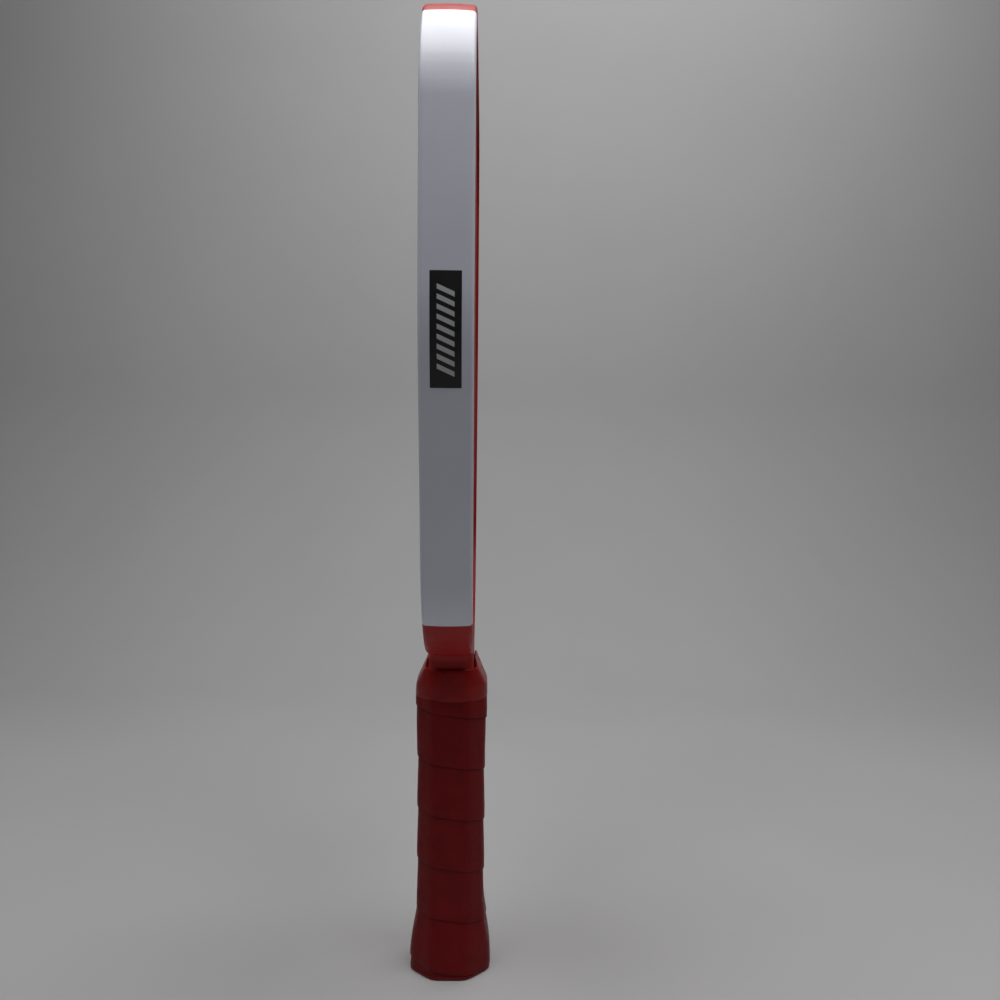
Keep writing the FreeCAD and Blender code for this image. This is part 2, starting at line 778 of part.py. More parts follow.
parts = [
    honeycomb_core(),
    panel_sheet("bond_film_front", "film_thickness", "film_front"),
    panel_sheet("bond_film_back", "film_thickness", "film_back"),
    panel_sheet("face_sheet_front", "face_thickness", "face_front"),
    panel_sheet("face_sheet_back", "face_thickness", "face_back"),
    channel_frame([guard_left, guard_right]),
    guard_left,
    guard_right,
    label_left,
    label_right,
    pallet_front,
    mirror_copy(pallet_front, "handle_pallet_back", along_x),
    flared_butt_cap(all_staples),
    blank_badge(),
    cap_staples,
    wrap_staple,
    wrap_sleeve(),
    tape_band(),
    rubber_collar(),
]
doc.recompute()

for item in doc.Objects:
    if "Invalid" in item.State or "Error" in item.State:
        raise RuntimeError(f"{item.Label} did not compute: {item.State}")
for node in parts:
    if node.Shape.isNull() or not node.Shape.isValid():
        raise RuntimeError(f"{node.Label} has no valid shape")

os.makedirs("parts", exist_ok=True)
for node in parts:
    node.Shape.exportStep(f"parts/{node.Label}.step")
    print(f"{node.Label}: {node.Shape.Volume / 1000:.2f} cm3")
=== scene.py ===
# %% [markdown]
# # A pickleball paddle, standing on its butt
# The paddle is a flat honeycomb panel held by a red channel frame. White guards lie over the frame's two
# long edges, and the handle is an eight-sided grip with a spiral wrap, a flared butt and a rubber collar.
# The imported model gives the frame: X runs through the thickness, Y across the width and Z up.

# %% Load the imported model
import math

import bmesh
import bpy
import numpy as np
from mathutils import Matrix, Vector


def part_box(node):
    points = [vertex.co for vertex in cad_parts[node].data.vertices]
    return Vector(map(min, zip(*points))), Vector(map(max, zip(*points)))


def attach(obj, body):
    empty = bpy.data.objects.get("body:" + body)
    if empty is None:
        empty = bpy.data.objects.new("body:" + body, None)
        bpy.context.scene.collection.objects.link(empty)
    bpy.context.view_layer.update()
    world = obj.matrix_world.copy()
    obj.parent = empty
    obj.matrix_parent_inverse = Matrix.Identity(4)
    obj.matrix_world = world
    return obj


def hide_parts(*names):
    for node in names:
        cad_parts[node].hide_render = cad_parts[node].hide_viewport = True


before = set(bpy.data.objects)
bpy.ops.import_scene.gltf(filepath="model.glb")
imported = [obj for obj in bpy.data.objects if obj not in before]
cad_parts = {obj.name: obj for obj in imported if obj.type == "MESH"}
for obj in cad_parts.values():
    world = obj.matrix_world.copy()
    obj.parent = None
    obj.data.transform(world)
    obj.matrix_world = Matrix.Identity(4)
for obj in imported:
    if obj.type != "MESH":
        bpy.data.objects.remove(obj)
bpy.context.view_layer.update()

MM = 0.001
print("nodes:", sorted(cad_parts))

# %% [markdown]
# ## Surfaces from arrays
# Every new piece is a grid of points worked out with numpy: rows one way, columns the other. A grid can
# close on itself in either direction, which makes a tube or a ring. The faces are index arrays, so no loop
# runs over the points. A piece is one or more such shells, joined, with doubled points merged.

# %% Turn grids of points into a mesh object
def grid_faces(rows, columns, ring_rows=False, ring_columns=False):
    """Each face joins a point to its neighbours in the next row and column, wrapping round where asked."""
    row, column = np.meshgrid(
        np.arange(rows if ring_rows else rows - 1),
        np.arange(columns if ring_columns else columns - 1),
        indexing="ij",
    )
    next_row = (row + 1) % rows
    next_column = (column + 1) % columns
    corners = [
        row * columns + column,
        row * columns + next_column,
        next_row * columns + next_column,
        next_row * columns + column,
    ]
    return np.stack(corners, axis=-1).reshape(-1, 4)


def tube(points, ring_rows=False):
    """A shell whose columns run round it; unless its rows close too, each end gets one flat face."""
    rows, columns = points.shape[:2]
    ends = []
    if not ring_rows:
        ends = [np.arange(columns), np.arange(columns) + (rows - 1) * columns]
    return points.reshape(-1, 3), grid_faces(rows, columns, ring_rows, True), ends


def clean_mesh(mesh):
    """Merge points that coincide, drop faces with no area, and point the faces outwards."""
    work = bmesh.new()
    work.from_mesh(mesh)
    bmesh.ops.remove_doubles(work, verts=work.verts, dist=2e-6)
    bmesh.ops.dissolve_degenerate(work, edges=work.edges, dist=1e-6)
    bmesh.ops.recalc_face_normals(work, faces=work.faces)
    work.to_mesh(mesh)
    work.free()


def make_object(name, shells, material):
    """Join shells, each made of points, four-sided faces and many-sided faces, into one mesh object."""
    faces = []
    start = 0
    for points, quads, ends in shells:
        faces += (quads + start).tolist() + [(end + start).tolist() for end in ends]
        start += len(points)
    mesh = bpy.data.meshes.new(name)
    mesh.from_pydata(np.concatenate([shell[0] for shell in shells]).tolist(), [], faces)
    clean_mesh(mesh)
    mesh.shade_smooth()
    mesh.set_sharp_from_angle(angle=math.radians(40))
    mesh.materials.append(material)
    piece = bpy.data.objects.new(name, mesh)
    bpy.context.scene.collection.objects.link(piece)
    print(name, "has", len(mesh.polygons), "faces")
    return piece


def make_piece(name, shells, material, slot, *nodes):
    """An object that is part of the paddle and stands for the named CAD nodes."""
    piece = make_object(name, shells, material)
    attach(piece, "root")
    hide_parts(*nodes)
    return piece


# %% [markdown]
# ## Material helpers
# Each finish is a small tree of nodes. The patterns come from Object coordinates, which are metres here
# because every piece keeps its place in its mesh, so a noise scale is features per metre.

# %% Node helpers
def new_material(name, colour, roughness, **sockets):
    """A material whose Principled shader has its colour, roughness and other sockets set directly."""
    material = bpy.data.materials.new(name)
    material.use_nodes = True
    tree = material.node_tree
    shader = tree.nodes["Principled BSDF"]
    shader.inputs["Base Color"].default_value = (*colour, 1)
    shader.inputs["Roughness"].default_value = roughness
    for socket, value in sockets.items():
        shader.inputs[socket.replace("_", " ")].default_value = value
    return material, tree, shader


def place_of(tree):
    """The point's place in metres."""
    return tree.nodes.new("ShaderNodeTexCoord").outputs["Object"]


def split_place(tree):
    """The X, Y and Z of the point's place."""
    node = tree.nodes.new("ShaderNodeSeparateXYZ")
    tree.links.new(place_of(tree), node.inputs["Vector"])
    return node.outputs["X"], node.outputs["Y"], node.outputs["Z"]


def noise(tree, per_metre, detail=3.0, stretch=(1, 1, 1)):
    """Noise with that many features to the metre, squeezed along each axis by the stretch."""
    mapping = tree.nodes.new("ShaderNodeMapping")
    mapping.inputs["Scale"].default_value = stretch
    tree.links.new(place_of(tree), mapping.inputs["Vector"])
    node = tree.nodes.new("ShaderNodeTexNoise")
    node.inputs["Scale"].default_value = per_metre
    node.inputs["Detail"].default_value = detail
    tree.links.new(mapping.outputs["Vector"], node.inputs["Vector"])
    return node.outputs["Fac"]


def cells(tree, per_metre):
    """The distance to the nearest of scattered points, that many to the metre."""
    node = tree.nodes.new("ShaderNodeTexVoronoi")
    node.inputs["Scale"].default_value = per_metre
    tree.links.new(place_of(tree), node.inputs["Vector"])
    return node.outputs["Distance"]


def maths(tree, operation, first, second=0.0):
    """One arithmetic step; each side is a number or another node's output."""
    node = tree.nodes.new("ShaderNodeMath")
    node.operation = operation
    for socket, value in zip(node.inputs, (first, second)):
        if isinstance(value, (int, float)):
            socket.default_value = value
        else:
            tree.links.new(value, socket)
    return node.outputs["Value"]


def spread(tree, source, low, high, out_low, out_high):
    """Stretch a value from one range to another, clamped at both ends."""
    node = tree.nodes.new("ShaderNodeMapRange")
    for socket, value in zip(list(node.inputs)[1:5], (low, high, out_low, out_high)):
        socket.default_value = value
    tree.links.new(source, node.inputs["Value"])
    return node.outputs["Result"]


def from_noise(tree, pattern, low=0, high=1):
    """Stretch a noise from the range where nearly all of it lies, 0.3 to 0.7, to the range asked for."""
    return spread(tree, pattern, 0.3, 0.7, low, high)


def two_tones(tree, shader, source, dark, light):
    """Colour the shader between two tones by a value from 0 to 1."""
    node = tree.nodes.new("ShaderNodeMix")
    node.data_type = "RGBA"
    tones = {"A": dark, "B": light}
    for socket in node.inputs:
        if socket.type == "RGBA":
            socket.default_value = (*tones[socket.name], 1)
    tree.links.new(source, node.inputs["Factor"])
    blend = [socket for socket in node.outputs if socket.type == "RGBA"][0]
    tree.links.new(blend, shader.inputs["Base Color"])


def emboss(tree, shader, height, depth):
    """Raise the surface by a height from 0 to 1 times a depth in metres."""
    node = tree.nodes.new("ShaderNodeBump")
    node.inputs["Strength"].default_value = 1.0
    node.inputs["Distance"].default_value = depth
    tree.links.new(height, node.inputs["Height"])
    tree.links.new(node.outputs["Normal"], shader.inputs["Normal"])


def vary_roughness(tree, shader, pattern, low, high):
    """Let the roughness wander between two values with a noise."""
    tree.links.new(from_noise(tree, pattern, low, high), shader.inputs["Roughness"])


# %% [markdown]
# ## The outline of the head
# The head's edge is a straight-sided shape whose corners are rounded: a tight hollow corner where the neck
# meets the shoulder, a big soft corner below, a slight bend at the side, a rounder corner at the top and a
# gentle crown. Each corner is a tangent arc, so only the corner points and their radii are needed. The
# outward direction is kept with every point, because the frame and the guards are built out along it.

# %% Trace the outline
paddle_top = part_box("edge_frame")[1].z
HALF_WIDTH = 102.3 * MM
NECK_HALF = 17.0 * MM
SIDE_BEND = paddle_top - 124.5 * MM
OUTLINE_CORNERS = [  # half width, height and corner radius, from the neck's foot to the middle of the top
    (NECK_HALF, 133 * MM, 0.0),
    (NECK_HALF, 147.5 * MM, 5 * MM),
    (HALF_WIDTH - 31.5 * MM, 158 * MM, 60 * MM),
    (HALF_WIDTH, SIDE_BEND, 120 * MM),
    (HALF_WIDTH, paddle_top - 6 * MM, 44.5 * MM),
    (30 * MM, paddle_top, 400 * MM),
    (0.0, paddle_top, 0.0),
]


def unit(vectors):
    """Scale vectors to a length of one."""
    return vectors / np.linalg.norm(vectors, axis=-1, keepdims=True)


def corner_arc(before, corner, after, radius):
    """Points and outward directions on the arc that touches both sides of a corner.

    Its centre is on the bisector, radius / cos(turn / 2) from the corner, and it turns by the angle
    between the sides. Outward is away from the centre, or towards it where the corner is hollow.
    """
    first = unit(corner - before)
    second = unit(after - corner)
    turn = math.acos(first @ second)
    side = np.sign(first[0] * second[1] - first[1] * second[0])
    centre = corner + unit(second - first) * radius / math.cos(turn / 2)
    arm = corner - first * radius * math.tan(turn / 2) - centre
    angle = side * np.linspace(0, turn, max(5, int(math.degrees(turn) / 2)))
    across = np.array([-arm[1], arm[0]])
    spokes = np.outer(np.cos(angle), arm) + np.outer(np.sin(angle), across)
    return centre + spokes, side * spokes / radius


def trace_outline():
    """The outline's points and outward directions, right side first, and the number of its middle point."""
    places = [np.array(corner[:2]) for corner in OUTLINE_CORNERS]
    points = [places[0][None]]
    directions = [np.array([[1.0, 0.0]])]
    for number in range(1, len(places) - 1):
        arc, away = corner_arc(*places[number - 1:number + 2], OUTLINE_CORNERS[number][2])
        points.append(arc)
        directions.append(away)
    points.append(places[-1][None])
    directions.append(np.array([[0.0, 1.0]]))
    right_points = np.concatenate(points)
    right_directions = np.concatenate(directions)
    mirror = np.array([-1, 1])
    return (np.concatenate([right_points, right_points[-2::-1] * mirror]),
            np.concatenate([right_directions, right_directions[-2::-1] * mirror]),
            len(right_points))


knots, knot_directions, middle_knot = trace_outline()
along = np.concatenate([[0], np.cumsum(np.linalg.norm(np.diff(knots, axis=0), axis=1))])


def outline_at(lengths):
    """Points and outward directions at those lengths along the outline, between the knots on either side."""
    points = [np.interp(lengths, along, knots[:, axis]) for axis in (0, 1)]
    directions = [np.interp(lengths, along, knot_directions[:, axis]) for axis in (0, 1)]
    return np.stack(points, axis=1), unit(np.stack(directions, axis=1))


def right_lengths(values, at_values):
    """Lengths along the right half at which a value that rises with every knot has the given values."""
    return np.interp(at_values, values[:middle_knot], along[:middle_knot])


print("outline:", len(knots), "knots,", round(along[-1], 3), "m long")

# %% [markdown]
# ## A channel section
# The frame and the guards are channels: a web with a slightly domed outside, two rounded long edges, and a
# lip on each face. The section is written once, as across and out, with "out" measured from the outline.
# The dome is a parabola, and each edge is an arc that starts where the parabola ends.

# %% Work out the section and carry it along the outline
EDGE_RADIUS = 1.6 * MM
DOME = 0.3 * MM
LIP_ROUND = 0.12 * MM


def channel(face_half, web_half, proud, shelf, inner_half, web_inside, lip_end):
    """Across and out for each row: dome, edge arc, shelf, lip and inside, then the same mirrored.

    Dome: out = proud - DOME * (x / flat)^2. Edge: a quarter arc from the dome's own slope to the side. The
    web's half width meets the face's half width at the shelf.
    """
    zero = np.zeros((len(proud), 1))
    face_half = zero + np.reshape(face_half, (-1, 1))
    web_half = zero + np.reshape(web_half, (-1, 1))
    proud = proud[:, None]
    lean = math.atan(2 * DOME / (float(web_half.max()) - EDGE_RADIUS))
    share = np.linspace(0, 1, 9)[None]
    angle = np.linspace(lean, math.pi / 2, 8)[None, 1:]
    flat = web_half - EDGE_RADIUS * (1 - math.sin(lean))
    x = [flat * share, web_half - EDGE_RADIUS * (1 - np.sin(angle)), web_half, face_half, face_half,
         face_half - LIP_ROUND, zero + inner_half, zero + inner_half, zero]
    dome_out = proud - DOME * share ** 2
    edge_out = proud - DOME - EDGE_RADIUS * (math.cos(lean) - np.cos(angle))
    lip_out = [shelf, shelf, lip_end + LIP_ROUND, lip_end, lip_end, web_inside, web_inside]
    x = np.concatenate(x, axis=1)
    out = np.concatenate([dome_out, edge_out] + [zero + value for value in lip_out], axis=1)
    return np.concatenate([x, -x[:, -2:0:-1]], axis=1), np.concatenate([out, out[:, -2:0:-1]], axis=1)


def sweep(lengths, x, out):
    """Each row's section stands on the outline: point = outline point + outward direction * out."""
    points, directions = outline_at(lengths)
    y = points[:, 0, None] + directions[:, 0, None] * out
    z = points[:, 1, None] + directions[:, 1, None] * out
    return np.stack([x, y, z], axis=-1)


# %% [markdown]
# ## The red frame
# The frame is one moulded channel that runs round the whole head and down into the neck, lacquered red. It
# is swept in one go. Under each white guard it is rebated, so its web and faces sit a little lower there, and
# the step falls just inside the guard's ends.

# %% Build the frame
PANEL_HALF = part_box("face_sheet_front")[1].x
FRAME_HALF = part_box("edge_frame")[1].x
GUARD_PROUD = 0.35 * MM
GUARD_WALL = 1.2 * MM
GUARD_LIP = 0.8 * MM
GUARD_DEPTH = 1.8 * MM
GUARD_ENDS = [(66 * MM, 169.5 * MM), (70 * MM, paddle_top - 34 * MM)]  # half width and height of each
GUARD_GAP = 0.05 * MM
SHELF_GAP = 0.12 * MM
FRAME_WALL = 2.4 * MM
FRAME_LIP = 8 * MM
STEP_LENGTH = 3 * MM

knot_angles = np.arctan2(knots[:, 1] - SIDE_BEND, knots[:, 0])
cut_angles = [math.atan2(height - SIDE_BEND, width) for width, height in GUARD_ENDS]
guard_start, guard_end = right_lengths(knot_angles, cut_angles)


def lengths_between(start, end, *extra):
    """Lengths along the outline: its knots, even steps and any extra ones, without near doubles."""
    nearest = 0.02 * MM
    steps = np.linspace(start, end, int((end - start) / STEP_LENGTH))
    inside = along[(along > start) & (along < end)]
    merged = np.unique(np.concatenate([steps, inside, *extra]))
    return merged[np.concatenate([[True], np.diff(merged) > nearest])]


def build_frame(material):
    """The channel round the whole head, lowered by the guards' thickness where they cover it."""
    whole = along[-1]
    hidden = 0.4 * MM
    step_half = 0.03 * MM
    right_ends = np.array([guard_start + hidden, guard_end - hidden])
    ends = np.concatenate([right_ends, whole - right_ends])
    lengths = lengths_between(0, whole, ends - step_half, ends + step_half)
    folded = np.minimum(lengths, whole - lengths)
    covered = (folded > right_ends[0]) & (folded < right_ends[1])
    web_half = np.where(covered, FRAME_HALF - GUARD_LIP - GUARD_GAP, FRAME_HALF)
    proud = np.where(covered, GUARD_PROUD - GUARD_WALL - GUARD_GAP, 0)
    shelf = -GUARD_DEPTH - SHELF_GAP
    x, out = channel(FRAME_HALF, web_half, proud, shelf, PANEL_HALF, -FRAME_WALL, -FRAME_LIP)
    return make_piece("frame_channel", [tube(sweep(lengths, x, out))], material, "frame_red", "edge_frame")


# %% [markdown]
# ## The white side guards
# Each guard is a glossy white moulded channel that snaps over the frame. Its long edges are rounded, its web
# is slightly crowned, and its two ends are softened by a small radius, so the light catches a thin rim.

# %% Build the guards
END_ROUND = 0.7 * MM


def build_guard(name, left, material, node):
    """A channel over the frame. Near each end its outside drops by r - sqrt(r^2 - (r - d)^2)."""
    near_end = np.linspace(0, END_ROUND, 7)
    lengths = lengths_between(guard_start, guard_end, guard_start + near_end, guard_end - near_end)
    to_end = np.minimum(lengths - guard_start, guard_end - lengths)
    short = END_ROUND - np.minimum(to_end, END_ROUND)
    drop = END_ROUND - np.sqrt(END_ROUND ** 2 - short ** 2)
    half = FRAME_HALF - drop
    x, out = channel(half, half, GUARD_PROUD - drop, LIP_ROUND - GUARD_DEPTH, FRAME_HALF - GUARD_LIP,
                     GUARD_PROUD - GUARD_WALL, -GUARD_DEPTH)
    if left:
        lengths = along[-1] - lengths
    return make_piece(name, [tube(sweep(lengths, x, out))], material, "guard_white", node)


# %% [markdown]
# ## The labels
# A thin black label is stuck on the middle of each guard. It follows the crowned web and carries a plain
# pattern of slanted grey bars, which stands in for lettering.

# %% Build the labels
LABEL_HALF = 5.6 * MM
LABEL_THICKNESS = 0.12 * MM
LABEL_BACK = 0.3 * MM  # the strip's back is this far inside the guard's surface


def build_label(name, left, material, node):
    """A strip on the crowned web: out = web + lift - DOME * (x / flat)^2, with a rounded rim."""
    low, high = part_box(node)
    start, end = right_lengths(knots[:, 1], [low.z, high.z])
    lengths = lengths_between(start, end)
    level = 15
    rim = 0.985
    back_half = 0.9 * LABEL_HALF
    across = np.concatenate([[-1, -1], np.linspace(-rim, rim, level), [1, 1]]) * LABEL_HALF
    lift = np.concatenate([[-0.1, 0.6], np.ones(level), [0.6, -0.1]]) * LABEL_THICKNESS
    flat = FRAME_HALF - EDGE_RADIUS
    top = GUARD_PROUD + lift - DOME * (across / flat) ** 2
    x = np.concatenate([across, [back_half, -back_half]])
    out = np.concatenate([top, [GUARD_PROUD - LABEL_BACK] * 2])
    rows = len(lengths)
    if left:
        lengths = along[-1] - lengths
    points = sweep(lengths, np.tile(x, (rows, 1)), np.tile(out, (rows, 1)))
    return make_piece(name, [tube(points)], material, "label_black", node)


# %% [markdown]
# ## The handle's section
# From the butt to the collar the handle is an octagon with soft corners: wide at the butt, slim at the waist
# and a little fuller under the collar. The soft octagon is one formula, the distance from the axis in each
# direction, so that rows of different size line up column by column.

# %% The soft octagon and its size at each height
COLUMNS = 192
LEVELS = np.array([0, 10, 28, 100, 118, 126]) * MM
HALF_THIN = np.array([36.4, 36.4, 30.4, 30.4, 32, 32]) / 2 * MM
HALF_WIDE = np.array([39.4, 39.4, 34, 34, 35.6, 35.6]) / 2 * MM
CORNER_CUT = np.array([10.4, 10.4, 7.4, 7.4, 8, 8]) * MM
WAIST = 2
BLEND = 5 * MM
CUT_SHARE = 0.6  # an octagon that shrinks by a distance loses about this share of it at each corner cut
SOFTNESS = 22
WRAP_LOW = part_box("grip_wrap")[0].z
WRAP_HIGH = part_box("grip_wrap")[1].z + 0.6 * MM


def soft_octagon(angle, thin, wide, cut, softness=SOFTNESS):
    """Distance to an octagon with soft corners.

    r = (|cos/thin|^p + |sin/wide|^p + ((|cos| + |sin|) / (thin + wide - cut))^p)^(-1/p)
    """
    across = np.abs(np.cos(angle))
    deep = np.abs(np.sin(angle))
    total = (across / thin) ** softness + (deep / wide) ** softness
    total = total + ((across + deep) / (thin + wide - cut)) ** softness
    return total ** (-1 / softness)


def handle_sizes(height):
    """The handle's half sizes and corner cut: straight runs between levels, averaged to blend them."""
    window = np.linspace(-BLEND, BLEND, 11)
    return [np.mean([np.interp(height + shift, LEVELS, sizes) for shift in window], axis=0)
            for sizes in (HALF_THIN, HALF_WIDE, CORNER_CUT)]


def even_angles(count):
    """Angles at which the waist's outline is cut into equal lengths, starting from +X."""
    fine = np.linspace(0, 2 * math.pi, 3601)
    radius = soft_octagon(fine, HALF_THIN[WAIST], HALF_WIDE[WAIST], CORNER_CUT[WAIST])
    outline = np.stack([radius * np.cos(fine), radius * np.sin(fine)], axis=1)
    walked = np.concatenate([[0], np.cumsum(np.linalg.norm(np.diff(outline, axis=0), axis=1))])
    return np.interp(np.arange(count) / count * walked[-1], walked, fine)


ANGLES = even_angles(COLUMNS)


def ring_point(radius, height):
    """Points at a distance from the axis along each column's direction, at a height."""
    radius, height, angle = np.broadcast_arrays(radius, height, ANGLES)
    return np.stack([radius * np.cos(angle), radius * np.sin(angle), height], axis=-1)


def octagon_rows(rows, softness=SOFTNESS):
    """One ring of points for each height, thin half, wide half and corner cut."""
    return np.stack([ring_point(soft_octagon(ANGLES, thin, wide, cut, softness), height)
                     for height, thin, wide, cut in rows])


def inset_rows(heights, inset):
    """Rings that stand a distance inside the handle's surface at each of the heights."""
    thin, wide, cut = handle_sizes(heights)
    return octagon_rows(zip(heights, thin - inset, wide - inset, cut - CUT_SHARE * inset))


# %% [markdown]
# ## The grip wrap
# The wrap is one long strip of cushioned synthetic leather wound up the handle. Each turn laps over the one
# below it, which leaves a soft ledge that runs round the handle as a spiral. The rows of the grid follow
# that spiral: a row that leaves on one side comes back one turn lower, so the ledges stay crisp.

# %% Build the wrap
PITCH = 23.3 * MM  # the height gained in one turn
FIRST_SEAM = 20.6 * MM
SWAY = 1.3 * MM  # each seam is this much high on one face and as much low on the other
LEDGE = 0.5 * MM
TURNS = 8
TURN_SHARES = np.concatenate([[0, 0, 0.004, 0.012, 0.028, 0.05], np.linspace(0.09, 0.97, 24), [0.99]])
EDGE_LIFT = np.array([0.35, 0.72, 0.93, 0.93]) * LEDGE  # the rounded lower edge, one share after another
EDGE_TUCK = 0.08 * MM
EDGE_RISE = 0.1 * MM
TURN_SINK = 0.35 * MM
WANDER = 0.05 * MM
WANDER_RATE = 260  # radians to the metre
WRAP_THICKNESS = 1.8 * MM


def turn_lift(share):
    """The lift across a turn: (1 - share)^0.9 from its lower edge, with a low bulge just above the edge."""
    sag = (1 - share) ** 0.9
    puff = 0.16 * np.exp(-((share - 0.16) / 0.12) ** 2)
    return LEDGE * (sag + puff) - TURN_SINK


def rounded_lift():
    """The lift at each of a turn's shares, with the first rows tucked in and rounded."""
    lift = turn_lift(TURN_SHARES)
    below = turn_lift(1.0)
    lift[0] = below - EDGE_TUCK
    lift[1:5] = np.minimum(lift[1:5], EDGE_LIFT + below + EDGE_RISE)
    return lift


def wound_rows():
    """Spiral rows: height = first seam + pitch * (turn + share - part of the way round), kept in range."""
    part = np.arange(COLUMNS) / COLUMNS
    turns = np.repeat(np.arange(TURNS) - 1, len(TURN_SHARES))[:, None]
    shares = np.tile(TURN_SHARES, TURNS)[:, None]
    start_height = FIRST_SEAM + SWAY * np.cos(ANGLES)
    free = start_height + PITCH * (turns + shares - part)
    height = np.clip(free, WRAP_LOW, WRAP_HIGH)
    own_share = np.mod((height - start_height) / PITCH + part, 1)
    lift = np.where(free == height, np.tile(rounded_lift(), TURNS)[:, None], turn_lift(own_share))
    wander = WANDER * np.sin(3 * ANGLES + height * WANDER_RATE)
    return ring_point(soft_octagon(ANGLES, *handle_sizes(height)) + lift + wander, height)


def wound_faces(rows):
    """Faces between spiral rows. Past the last column, each row goes on as the row one turn lower."""
    per_turn = len(TURN_SHARES)
    last = COLUMNS - 1
    row = np.arange(per_turn, rows - 1)
    seam = [row * COLUMNS + last, (row - per_turn) * COLUMNS,
            (row + 1 - per_turn) * COLUMNS, (row + 1) * COLUMNS + last]
    return [grid_faces(rows, COLUMNS), np.stack(seam, axis=-1)]


def bridge(first, second):
    """Faces between two rings of points, given by the number of each ring's first point."""
    column = np.arange(COLUMNS)
    after = (column + 1) % COLUMNS
    return np.stack([first + column, first + after, second + after, second + column], axis=-1)


def build_wrap(material):
    """The wound rows outside, a plain sleeve inside, and a band of faces that closes each end."""
    outside = wound_rows()
    inside = inset_rows(np.linspace(WRAP_LOW, WRAP_HIGH, 30), WRAP_THICKNESS)
    start = len(outside) * COLUMNS
    faces = wound_faces(len(outside)) + [
        grid_faces(len(inside), COLUMNS, ring_columns=True) + start,
        bridge(0, start),
        bridge(start - COLUMNS, start + (len(inside) - 1) * COLUMNS),
    ]
    points = np.concatenate([outside.reshape(-1, 3), inside.reshape(-1, 3)])
    return make_piece("spiral_wrap", [(points, np.concatenate(faces), [])], material, "wrap_red", "grip_wrap")


# %% [markdown]
# ## The butt cap
# The butt cap is a firm moulded plug. Only its rounded base flange shows below the wrap, with a shallow round
# recess for the badge. The rings below change from circles at the recess to the soft octagon at the rim.

# %% Build the butt cap
RECESS_RADIUS = 11 * MM
RECESS_DEPTH = 1.0 * MM
RECESS_BEVEL = 0.15 * MM
AXIS_HOLE = 0.02 * MM
FLANGE = np.array([  # height and inset, written in millimetres, round the flange's two soft edges
    (0, 3.0), (0, 1.2), (0.06, 0.7), (0.3, 0.25), (0.7, 0.02), (1.2, 0), (1.5, 0.05), (1.6, 0.2), (1.6, 1.85),
]) * MM
PLUG_INSET = WRAP_THICKNESS + 0.05 * MM
PLUG_WALL = 3 * MM
PLUG_LOW = 4 * MM
PLUG_TOP = 27.9 * MM
PLUG_FLOOR = 6 * MM


def recess_rows():
    """Circles from the middle of the recess out to its edge and down over the bevel."""
    rings = [(RECESS_DEPTH, AXIS_HOLE), (RECESS_DEPTH, RECESS_RADIUS), (RECESS_BEVEL, RECESS_RADIUS),
             (0, RECESS_RADIUS + RECESS_BEVEL)]
    return [ring_point(radius, height) for height, radius in rings]


def build_butt_cap(material):
    """Rings from the middle of the recess, down and out to the flange, then up inside the wrap."""
    thin, wide, cut = [float(size) for size in handle_sizes(0.0)]
    flange = octagon_rows([(height, thin - inset, wide - inset, cut - CUT_SHARE * inset)
                           for height, inset in FLANGE])
    plug = inset_rows(np.linspace(PLUG_LOW, PLUG_TOP, 12), PLUG_INSET)
    thin, wide, cut = [float(size) - PLUG_WALL for size in handle_sizes(LEVELS[WAIST])]
    hollow = octagon_rows([(height, thin, wide, cut + (1 - CUT_SHARE) * PLUG_WALL)
                           for height in (PLUG_TOP, PLUG_FLOOR)])
    rows = np.concatenate([np.stack(recess_rows()), flange, plug, hollow])
    return make_piece("moulded_butt", [tube(rows)], material, "cap_red", "butt_cap")


# %% [markdown]
# ## The rubber collar
# The collar is a satin rubber sleeve that hides the top of the wrap. It stands straight over the wrap, then
# slopes in to the neck. Its lips are rounded, and on each face the rim rises into a tab beside the panel.

# %% Build the collar
TAB_FADE = (10.5 * MM, 13.2 * MM)  # the tab ends between these distances from the middle of the face
COLLAR_SOFTNESS = 15
COLLAR_SKIRT = [  # height, half thickness, half width and corner cut, in millimetres
    (131.0, 13.0, 16.0, 6.0),
    (127.0, 15.0, 16.8, 7.4),
    (126.2, 15.6, 17.4, 7.8),
    (125.9, 15.9, 17.7, 8.0),
    (126.0, 16.1, 17.95, 8.1),
    (126.6, 16.18, 18.1, 8.1),
    (129.0, 16.15, 18.25, 7.9),
    (131.4, 16.0, 18.36, 7.6),
    (132.4, 15.8, 18.4, 7.3),
    (133.2, 15.45, 18.42, 6.9),
    (136.0, 14.1, 18.42, 5.8),
    (138.6, 12.95, 18.4, 4.9),
]
EDGE_RIM = [  # where the rim stays low, over the paddle's edges
    (139.6, 12.5, 18.35, 4.6),
    (140.2, 12.2, 18.2, 4.4),
    (140.4, 11.7, 17.95, 4.0),
    (140.3, 10.9, 17.6, 3.0),
    (139.9, 10.2, 17.35, 2.2),
    (138.0, 10.1, 17.3, 1.9),
    (133.0, 10.1, 17.25, 1.9),
]
FACE_RIM = [  # where it rises into a tab on each face
    (140.6, 11.9, 18.3, 4.4),
    (142.2, 11.35, 18.2, 4.2),
    (143.0, 11.2, 18.0, 4.0),
    (143.4, 11.0, 17.8, 3.0),
    (143.5, 10.6, 17.5, 2.2),
    (143.1, 10.2, 17.3, 1.9),
    (133.0, 10.1, 17.25, 1.9),
]


